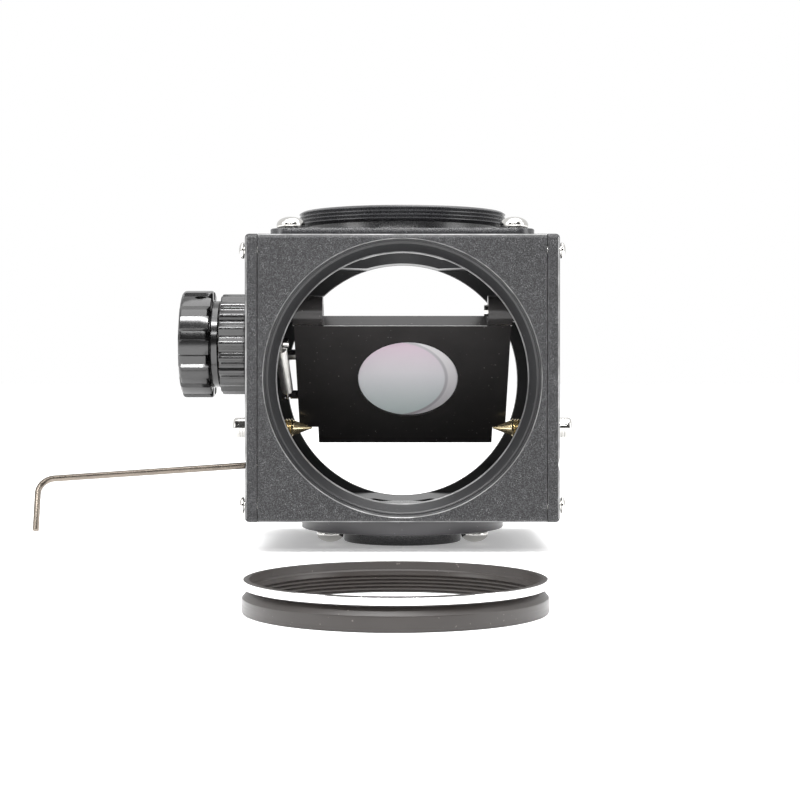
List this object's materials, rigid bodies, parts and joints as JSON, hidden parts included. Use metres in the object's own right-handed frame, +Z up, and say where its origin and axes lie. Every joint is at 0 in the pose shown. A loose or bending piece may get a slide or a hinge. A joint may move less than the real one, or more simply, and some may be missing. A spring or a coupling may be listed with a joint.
{
  "type": "flip-mirror diagonal box",
  "caption": "Square black flip-mirror box with round front, back and top ports, side knob, 45 degree mirror on a spring, stop screws, hex key and a loose thread ring.",
  "frame": {"origin": "centre of the flat underside of the bottom cap, on the surface the box stands on", "axes": "+Z up, towards the top port; -Y towards the front port; -X towards the knob"},
  "size_m": [0.1408, 0.2083, 0.0896],
  "materials": {
    "black_coat": "fine speckled black coat on aluminium",
    "satin_black": "satin black anodised",
    "bright_steel": "bright turned steel",
    "brass": "turned",
    "mirror_glass": "aluminised glass",
    "coated_glass": "lilac to teal coated glass",
    "rubber": "matt"
  },
  "bodies": {
    "housing": {"body_shell": "black_coat", "left_side_plate": "black_coat", "right_side_plate": "black_coat", "top_port_flange": "satin_black", "bottom_flange": "satin_black", "bottom_cap": "satin_black", "top_screw_1": "bright_steel", "top_screw_2": "bright_steel", "top_screw_3": "bright_steel", "top_screw_4": "bright_steel", "bottom_screw_1": "bright_steel", "bottom_screw_2": "bright_steel", "bottom_screw_3": "bright_steel", "left_plate_screw_1": "bright_steel", "left_plate_screw_2": "bright_steel", "left_plate_screw_3": "bright_steel", "left_plate_screw_4": "bright_steel", "right_plate_screw_1": "bright_steel", "right_plate_screw_2": "bright_steel", "right_plate_screw_3": "bright_steel", "right_plate_screw_4": "bright_steel", "left_hinge_pin": "bright_steel", "right_hinge_pin": "bright_steel", "left_hinge_sleeve": "satin_black", "right_hinge_sleeve": "satin_black", "shaft_bush": "brass", "spring_post": "bright_steel", "tension_spring": "bright_steel", "up_stop_bumper": "rubber"},
    "mirror": {"mirror_holder": "satin_black", "main_mirror": "mirror_glass", "guide_mirror": "coated_glass", "mirror_clip_1": "satin_black", "mirror_clip_2": "satin_black", "clip_screw_1": "bright_steel", "clip_screw_2": "bright_steel", "spring_arm": "satin_black"},
    "knob": {"knob_wheel": "satin_black", "knob_shaft": "bright_steel", "crank_arm": "bright_steel", "crank_pin": "bright_steel", "knob_set_screw": "bright_steel"},
    "collar": {"knob_collar": "satin_black"},
    "left_stop": {"left_stop_screw": "brass", "left_stop_head": "bright_steel", "left_lock_nut": "bright_steel"},
    "right_stop": {"right_stop_screw": "brass", "right_stop_head": "bright_steel", "right_lock_nut": "bright_steel"},
    "left_clamp": {"left_clamp_screw": "bright_steel"},
    "right_clamp": {"right_clamp_screw": "bright_steel"},
    "key": {"hex_key": "bright_steel"},
    "loose_ring": {"port_ring": "satin_black"}
  },
  "joints": [
    {"name": "mirror_flip", "type": "hinge", "parent": "housing", "child": "mirror", "pos_m": [0, -0.017, 0.06245], "axis": [1, 0, 0], "range_deg": [0, 45], "deforming": ["tension_spring"]},
    {"name": "knob_turn", "type": "hinge", "parent": "housing", "child": "knob", "pos_m": [-0.05, -0.006, 0.05365], "axis": [1, 0, 0], "range_deg": [0, 90]},
    {"name": "collar_turn", "type": "hinge", "parent": "housing", "child": "collar", "pos_m": [-0.045, -0.006, 0.05365], "axis": [1, 0, 0], "continuous": true},
    {"name": "left_stop_turn", "type": "hinge", "parent": "housing", "child": "left_stop", "pos_m": [-0.035, 0.0113, 0.03045], "axis": [1, 0, 0], "range_deg": [-180, 180]},
    {"name": "right_stop_turn", "type": "hinge", "parent": "housing", "child": "right_stop", "pos_m": [0.035, 0.0113, 0.03045], "axis": [1, 0, 0], "range_deg": [-180, 180]},
    {"name": "left_clamp_turn", "type": "hinge", "parent": "housing", "child": "left_clamp", "pos_m": [-0.032, -0.0342, 0.02275], "axis": [1, 0, 0], "range_deg": [-90, 90]},
    {"name": "right_clamp_turn", "type": "hinge", "parent": "housing", "child": "right_clamp", "pos_m": [0.032, -0.0342, 0.02275], "axis": [1, 0, 0], "range_deg": [-180, 180]},
    {"name": "key_slide", "type": "slide", "parent": "left_clamp", "child": "key", "axis": [-0.9977, 0, -0.068], "range_m": [0, 0.03]},
    {"name": "ring_lift", "type": "slide", "parent": "housing", "child": "loose_ring", "axis": [0, 0, 1], "range_m": [0, 0.04]}
  ],
  "couplings": [
    {"joint": "knob_turn", "follows": "mirror_flip", "ratio": 2}
  ]
}
